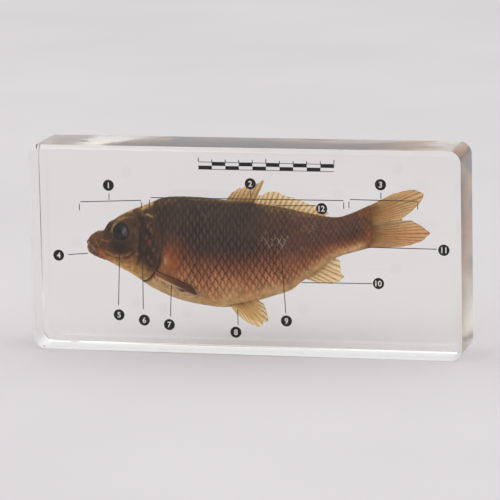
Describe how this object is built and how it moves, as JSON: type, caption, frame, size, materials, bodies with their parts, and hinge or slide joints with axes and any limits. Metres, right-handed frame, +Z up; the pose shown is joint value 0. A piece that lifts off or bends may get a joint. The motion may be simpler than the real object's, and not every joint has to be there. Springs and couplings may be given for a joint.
{
  "type": "carp in acrylic block",
  "caption": "Young carp cast whole in a clear acrylic block, with a printed film of numbered leader lines in front of it; stands on its long edge as a study or display piece.",
  "frame": {"origin": "middle of the block's underside", "axes": "+X along the block from the carp's head to its tail, +Y from the front face to the back face, +Z up"},
  "size_m": [0.16, 0.025, 0.076],
  "materials": {
    "clear_acrylic": "polished",
    "printed_film": "gloss",
    "carp_skin": "satin"
  },
  "bodies": {
    "root": {"block_back": "clear_acrylic", "block_front": "clear_acrylic", "label_film": "printed_film", "carp": "carp_skin"}
  },
  "joints": []
}
